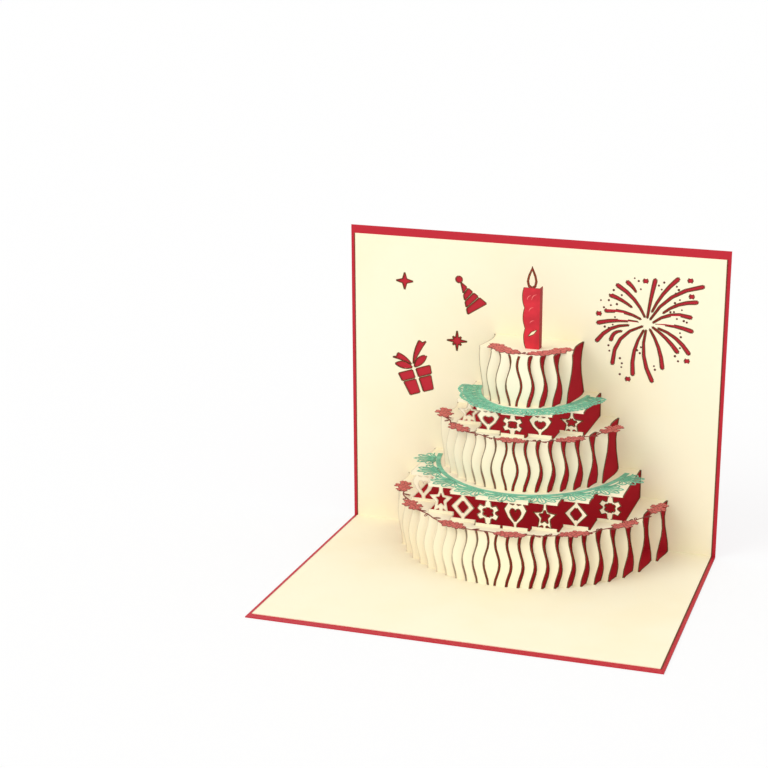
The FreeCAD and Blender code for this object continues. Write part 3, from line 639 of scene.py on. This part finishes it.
class CARD_OT_collars(bpy.types.Operator):
    """Cut the two green lace collars"""

    bl_idname = "card.collars"
    bl_label = "Lace collars"

    def execute(self, context):
        sizes, collar = context.scene.card_sizes, context.scene.collar_sizes
        material = lace_paper()
        self.lower(sizes, collar, material)
        self.upper(sizes, collar, material)
        return {"FINISHED"}

    def lower(self, sizes, collar, material):
        """A band, an edge line and a row of fans. The fingers of a fan are leaf outlines, each with a rib.
        Their bases and tips stand off the fan's middle line by a length times the sine of the finger's
        angle and out along it by a length times its cosine, and they bow away from it by the sine."""
        reach, spread = 82.0, 74.0
        plan, root = np.array((0.0462, 0.0612)), 0.0010
        band_shift, band_width, edge_shift, edge_width = -0.0003, 0.0022, 0.0026, 0.0005
        foot, finger, clear, leaf, bow, rib = 0.0030, 0.0092, 0.0012, 0.0017, -0.0030, 0.80
        rise, line = collar.lower_ledge, collar.line
        turns = np.linspace(-reach, reach, 141)
        parts = [
            bars(oval(plan + band_shift, turns)[None], band_width, rise, sizes.lace),
            bars(oval(plan + edge_shift, turns)[None], edge_width, rise, sizes.lace)]
        fan = 2 * reach / collar.fans
        middle = np.repeat(-reach + fan * (np.arange(collar.fans) + 0.5), collar.fingers)
        angle = np.tile(np.radians(np.linspace(-spread, spread, collar.fingers)), collar.fans)
        along, away = np.sin(angle)[:, None], np.cos(angle)[:, None]
        hub = oval(plan + root, middle)
        out = oval(plan + root, middle, 0.01) - hub
        out /= np.linalg.norm(out, axis=1, keepdims=True)
        side = np.stack([-out[:, 1], out[:, 0]], -1)
        bases = hub + side * along * foot
        tips = hub + side * along * finger + out * (clear + away * finger)
        bend = np.sin(angle) * bow
        parts.append(bars(leaf_loops(bases, tips, leaf, bend), line, rise, sizes.lace))
        ribs = leaf_loops(bases, bases + (tips - bases) * rib, 0.0, bend * rib, 13)[:, :7]
        parts.append(bars(ribs, line * 0.7, rise, sizes.lace))
        points, faces, uv = joined(parts)
        surface("lower_collar_lace", points, faces, material, uv,
                stands_for=("lower_collar",))

    def upper(self, sizes, collar, material):
        """Two rows of eyelets in a net of crossing lines, on a narrow band, with a scalloped rim. An eyelet
        goes round its middle by a cosine along the collar and a sine out from it. A crossing line runs out
        evenly from the band to the rim, whose distance swells by the size of a sine of the direction, and a
        scallop adds a half sine to the power of its fullness."""
        reach, waves = 80.0, 9.0
        inner, wide, swell = np.array((0.0262, 0.0442)), 0.0076, 0.0012
        band_width, scallop, fullness = 0.0016, 0.0013, 0.7
        first_row, row_step, eye_width, eye_height = 0.0028, 0.0034, 0.44, 0.00165
        rise, line = collar.upper_ledge, collar.line
        step = 2 * reach / collar.scallops
        start = -reach + step * (np.arange(collar.scallops - 1) + 0.5)

        def far(directions):
            return wide + swell * np.abs(np.sin(np.radians(directions) * waves))

        parts = [bars(oval(inner, np.linspace(-reach, reach, 281))[None], band_width, rise, sizes.lace)]
        around = np.linspace(0, 2 * np.pi, 11)
        for row in range(2):
            turn = (start + step * 0.5 * row)[:, None] + step * eye_width * np.cos(around)[None]
            out = np.broadcast_to(first_row + row_step * row + eye_height * np.sin(around), turn.shape)
            parts.append(bars(oval(inner, turn, out), line * 0.9, rise, sizes.lace))
        t = np.linspace(0, 1, 7)
        for hand in (-1.0, 1.0):
            turn = np.clip(start[::2, None] + hand * step * 1.5 * (t[None] - 0.5), -reach, reach)
            parts.append(bars(oval(inner, turn, far(turn) * t[None]), line * 0.7, rise, sizes.lace))
        turn = start[:, None] + step * (t[None] - 0.5)
        out = far(turn) + scallop * np.sin(np.pi * t)[None] ** fullness
        parts.append(bars(oval(inner, turn, out), line * 1.2, rise, sizes.lace))
        points, faces, uv = joined(parts)
        surface("upper_collar_lace", points, faces, material, uv,
                stands_for=("upper_collar",))


class CARD_OT_garlands(bpy.types.Operator):
    """Cut the three flower garlands"""

    bl_idname = "card.garlands"
    bl_label = "Flower garlands"

    def execute(self, context):
        sizes, garland = context.scene.card_sizes, context.scene.garland_sizes
        colours = context.scene.card_colours
        petal = petal_paper()
        vine = coloured_paper(
            "vine_paper", tuple(c * 0.45 for c in colours.salmon), tuple(colours.salmon_dark), 0.2, 1.0)
        # name, rise of the ledge, half width and half depth of the plan, size of the flowers, and the
        # directions of the clusters
        rows = (
            ("lower_garland", 0.02635134, (0.0626, 0.0768), 1.05,
             (-72.0, -49.0, -21.0, 5.0, 31.0, 55.0, 79.0)),
            ("middle_garland", 0.06535134, (0.0432, 0.0572), 1.05, (-68.0, -38.0, 1.0, 36.0, 67.0)),
            ("upper_garland", 0.10135134, (0.0202, 0.0354), 1.2, (-39.0, -21.0, 25.0, 46.0)))
        for name, rise, plan, bloom, clusters in rows:
            self.cluster(name, rise, plan, bloom, np.array(clusters), sizes, garland, petal)
            self.vines(name, rise, plan, np.array(clusters), sizes, garland, vine)
        return {"FINISHED"}

    def cluster(self, name, rise, plan, bloom, clusters, sizes, garland, material):
        """Six flowers at each cluster: a large pair, a smaller one to each side and two buds."""
        along = np.array((-0.0060, -0.0036, -0.0010, 0.0022, 0.0046, 0.0066))
        out = np.array((0.0006, -0.0008, 0.0012, -0.0010, 0.0010, -0.0002))
        scale = np.array((0.52, 0.86, 1.0, 0.96, 0.80, 0.46))
        size = (plan[0] + plan[1]) / 2.0
        turn = (clusters[:, None] + np.degrees(along / size)[None]).ravel()
        hubs = oval(plan, turn, np.tile(out, len(clusters)))
        radii = garland.flower * np.tile(scale, len(clusters)) * bloom
        spins = np.arange(len(hubs)) * 0.37 * 360.0
        points, faces, uv = flowers(hubs, radii, spins, garland.petals, rise, sizes.lace)
        surface(name + "_flowers", points, faces, material, uv, stands_for=(name,))

    def vines(self, name, rise, plan, clusters, sizes, garland, material):
        """A stem from the first cluster to the last, which weaves out and in by a sine of the direction,
        with small leaf outlines on both sides in turn."""
        spacing, leaf_turn, leaf_out, leaf = 5.2, 2.2, 0.0022, 0.0005
        thickness = sizes.lace * 0.8

        def weave(directions):
            return 0.0007 * np.sin(np.radians(directions) * 22.0)

        turns = np.linspace(clusters.min(), clusters.max(), 181)
        parts = [bars(oval(plan, turns, weave(turns))[None], garland.vine, rise, thickness)]
        buds = np.arange(clusters.min() + 4.0, clusters.max() - 2.0, spacing)
        hand = np.where(np.arange(len(buds)) % 2 == 0, 1.0, -1.0)
        bases = oval(plan, buds, weave(buds))
        tips = oval(plan, buds + leaf_turn, leaf_out * hand)
        twigs = leaf_loops(bases, tips, leaf, np.zeros(len(buds)), 13)
        parts.append(bars(twigs, garland.vine * 0.6, rise, thickness))
        points, faces, uv = joined(parts)
        surface(name + "_vine", points, faces, material, uv)


class CARD_OT_candle(bpy.types.Operator):
    """Draw the light strokes on the candle's front"""

    bl_idname = "card.candle"
    bl_label = "Candle strokes"

    def execute(self, context):
        """A stroke bows out by four times t times (1 - t), and is as wide as the sine of pi t."""
        sizes, colours = context.scene.card_sizes, context.scene.card_colours
        material = coloured_paper(
            "candle_stroke", tuple(colours.candle_line), tuple(colours.candle), 0.3, 1.0)
        t = np.linspace(0, 1, 9)
        # x and rise of both ends, and how far the middle bows out
        strokes = np.array([
            (0.0022, 0.1245, 0.0040, 0.1268, 0.0006), (0.0042, 0.1246, 0.0066, 0.1274, 0.0007),
            (0.0030, 0.1190, 0.0052, 0.1212, 0.0006), (0.0034, 0.1135, 0.0056, 0.1150, 0.0004)])
        first, last, bow = strokes[:, 0:2], strokes[:, 2:4], strokes[:, 4:5]
        way = last - first
        normal = np.stack([-way[:, 1], way[:, 0]], -1)
        normal /= np.linalg.norm(normal, axis=1, keepdims=True)
        path = first[:, None] + way[:, None] * t[:, None] + (
            normal[:, None] * (bow * 4 * t * (1 - t))[..., None])
        along = np.gradient(path, axis=1)
        along /= np.linalg.norm(along, axis=-1, keepdims=True)
        side = np.stack([-along[..., 1], along[..., 0]], -1)
        widest, tip = 0.00020, 0.06
        half = widest * np.sin(np.pi * np.clip(t, tip, 1.0 - tip))[None, :, None]
        edges = np.stack([path - side * half, path + side * half], 2)
        points = spot(edges[..., 0], CANDLE_FRONT + sizes.lift, edges[..., 1])
        rows, count = path.shape[:2]
        base = (np.arange(rows)[:, None] * count + np.arange(count - 1)[None])[..., None] * 2
        faces = (base + np.array([0, 2, 3, 1])).reshape(-1, 4)
        uv = np.broadcast_to(np.array([0.0, 0.2]), (rows, count, 2))
        uv = np.stack([np.zeros_like(uv), uv], -1)
        surface("candle_strokes", points.reshape(-1, 3), faces, material, uv)
        return {"FINISHED"}


class CARD_OT_dust(bpy.types.Operator):
    """Prick the small burnt dots of the firework into the standing panel"""

    bl_idname = "card.dust"
    bl_label = "Firework dust"

    def execute(self, context):
        """Ten-sided dots: x is the middle plus the size times the cosine, rise the same with the sine."""
        sizes = context.scene.card_sizes
        dots = np.array(FIREWORK_DUST) / 1000.0
        theta = np.linspace(0, 2 * np.pi, 10, endpoint=False)
        size = 0.00042 + 0.00020 * np.modf(np.arange(len(dots)) * GOLDEN)[0]
        x = dots[:, :1] + size[:, None] * np.cos(theta)[None]
        rise = dots[:, 1:] + size[:, None] * np.sin(theta)[None]
        points = spot(x, sizes.sheet + 2 * sizes.lift, rise)
        faces = np.arange(points[..., 0].size).reshape(len(dots), -1)
        graph = Graph("burnt_dot")
        tone = graph.noise(0.0008, 2.0)
        burnt = tuple(context.scene.card_colours.burnt)
        material = graph.finish(Base_Color=graph.mix(tone, burnt, (0.16, 0.03, 0.02)), Roughness=0.85)
        surface("firework_dust", points, faces, material)
        return {"FINISHED"}


class CARD_OT_stage(bpy.types.Operator):
    """Lay a white floor, hang soft studio light and set the camera"""

    bl_idname = "card.stage"
    bl_label = "Stage"

    def execute(self, context):
        self.floor()
        self.light(context.scene)
        self.camera(context.scene)
        context.scene.view_settings.view_transform = "Standard"
        return {"FINISHED"}

    def floor(self):
        graph = Graph("white_floor")
        graph.finish(Base_Color=(0.93, 0.93, 0.93), Roughness=0.9)
        glow = graph.add("ShaderNodeEmission", {}, {"Color": (1.0, 1.0, 1.0), "Strength": 1.0})
        glow_share = 0.72
        mixed = graph.add(
            "ShaderNodeMixShader", {},
            {0: graph.seen() * glow_share, 1: Term(graph, graph.shader.outputs[0]), 2: glow})
        graph.links.new(mixed.socket, graph.output.inputs["Surface"])
        mesh = bpy.data.meshes.new("floor")
        half, level = 12.0, -0.00008
        mesh.from_pydata(
            [(-half, -half, level), (half, -half, level), (half, half, level), (-half, half, level)],
            [], [(0, 1, 2, 3)])
        mesh.materials.append(graph.material)
        floor = bpy.data.objects.new("floor", mesh)
        bpy.context.scene.collection.objects.link(floor)

    def light(self, scene):
        """A bright even room, and a large soft window to the left of the camera."""
        graph = Graph("soft_room", world=True)
        graph.feed(graph.shader.inputs["Color"], (1.0, 1.0, 1.0))
        room = 0.91
        graph.feed(graph.shader.inputs["Strength"], room + (1.0 - room) * graph.seen())
        scene.world = graph.material
        lamp = bpy.data.lights.new("window", "SUN")
        lamp.energy = 0.84
        lamp.angle = math.radians(32.0)
        lamp.color = (1.0, 0.985, 0.96)
        sun = bpy.data.objects.new("window", lamp)
        towards = Vector((-0.50, -0.66, 0.60))
        sun.rotation_mode = "QUATERNION"
        sun.rotation_quaternion = towards.to_track_quat("Z", "Y")
        sun.location = towards
        scene.collection.objects.link(sun)

    def camera(self, scene):
        """Camera of the photo: turned right and up round a point in front of the card, and rolled."""
        distance = 0.88614
        data = bpy.data.cameras.new("camera")
        data.sensor_width = 36.0
        data.lens = 88.886
        data.clip_start, data.clip_end = 0.05, 50.0
        camera = bpy.data.objects.new("camera", data)
        scene.collection.objects.link(camera)
        scene.camera = camera
        around, above, roll = (math.radians(v) for v in (17.135, 14.135, 1.208))
        back = Vector((
            math.sin(around) * math.cos(above), -math.cos(around) * math.cos(above), math.sin(above)))
        target = Vector((-0.06371, 0.03455, 0.07990))
        right = (-back).cross(Vector((0, 0, 1))).normalized()
        up = right.cross(-back)
        turned_right = math.cos(roll) * right + math.sin(roll) * up
        turned_up = -math.sin(roll) * right + math.cos(roll) * up
        rows = Matrix((turned_right, turned_up, back)).transposed().to_4x4()
        camera.matrix_world = Matrix.Translation(target + back * distance) @ rows


OPERATORS = (
    CARD_OT_papers, CARD_OT_scorch, CARD_OT_dust, CARD_OT_collars, CARD_OT_garlands, CARD_OT_candle,
    CARD_OT_stage)
GROUPS = {
    "card_sizes": CardSizes, "collar_sizes": CollarSizes, "garland_sizes": GarlandSizes,
    "card_colours": CardColours}


class CARD_PT_panel(bpy.types.Panel):
    """Buttons for each part of the card's dress"""

    bl_idname = "CARD_PT_panel"
    bl_label = "Pop-up Card"
    bl_space_type = "VIEW_3D"
    bl_region_type = "UI"
    bl_category = "Pop-up Card"

    def draw(self, context):
        for operator in OPERATORS:
            self.layout.operator(operator.bl_idname)
        for name, group in GROUPS.items():
            box = self.layout.box()
            for key in group.__annotations__:
                box.prop(getattr(context.scene, name), key)


def register():
    for cls in (*GROUPS.values(), *OPERATORS, CARD_PT_panel):
        bpy.utils.register_class(cls)
    for name, group in GROUPS.items():
        setattr(bpy.types.Scene, name, bpy.props.PointerProperty(type=group))


def unregister():
    for name in GROUPS:
        delattr(bpy.types.Scene, name)
    for cls in reversed((*GROUPS.values(), *OPERATORS, CARD_PT_panel)):
        bpy.utils.unregister_class(cls)


def main():
    register()
    bpy.ops.card.papers()
    bpy.ops.card.scorch()
    bpy.ops.card.dust()
    bpy.ops.card.collars()
    bpy.ops.card.garlands()
    bpy.ops.card.candle()
    bpy.ops.card.stage()


if __name__ == "__main__":
    main()
